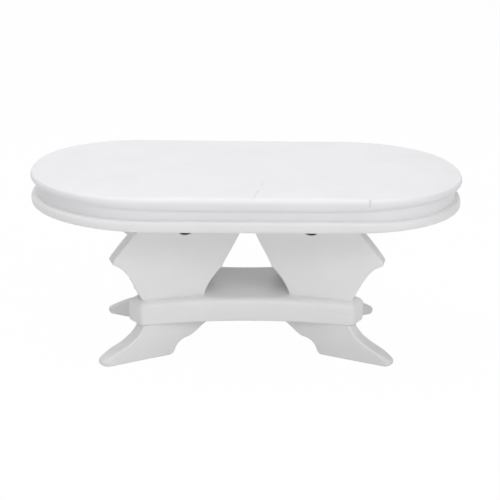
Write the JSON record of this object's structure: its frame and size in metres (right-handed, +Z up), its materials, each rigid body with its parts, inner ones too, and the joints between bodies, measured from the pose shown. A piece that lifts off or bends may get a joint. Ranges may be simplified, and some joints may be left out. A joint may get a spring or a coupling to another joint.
{
  "type": "miniature dining table",
  "caption": "Miniature oval dining table in painted wood: a moulded top on splayed scroll-sawn leg boards, a thick stretcher shelf with hollow sides, and curved feet under it.",
  "frame": {"origin": "on the floor, under the middle of the top", "axes": "+X along the length of the top, +Y from the front to the back, +Z up"},
  "size_m": [0.15, 0.078, 0.0647],
  "materials": {
    "white_paint": "satin white paint sprayed over sanded wood, edges eased",
    "bare_wood": "unfinished birch dowel",
    "dark_steel": "blackened steel, dull"
  },
  "bodies": {
    "root": {"table_top_board": "white_paint", "sub_top_board": "white_paint", "cleat_left": "white_paint", "cleat_right": "white_paint", "leg_front_left": "white_paint", "leg_front_right": "white_paint", "leg_back_left": "white_paint", "leg_back_right": "white_paint", "stretcher_shelf": "white_paint", "foot_front_left": "white_paint", "foot_front_right": "white_paint", "foot_back_left": "white_paint", "foot_back_right": "white_paint", "dowel_front_left_outer": "bare_wood", "dowel_front_left_inner": "bare_wood", "dowel_front_right_outer": "bare_wood", "dowel_front_right_inner": "bare_wood", "dowel_back_left_outer": "bare_wood", "dowel_back_left_inner": "bare_wood", "dowel_back_right_outer": "bare_wood", "dowel_back_right_inner": "bare_wood", "leg_screw_front_left": "dark_steel", "leg_screw_front_right": "dark_steel", "leg_screw_back_left": "dark_steel", "leg_screw_back_right": "dark_steel"}
  },
  "joints": []
}
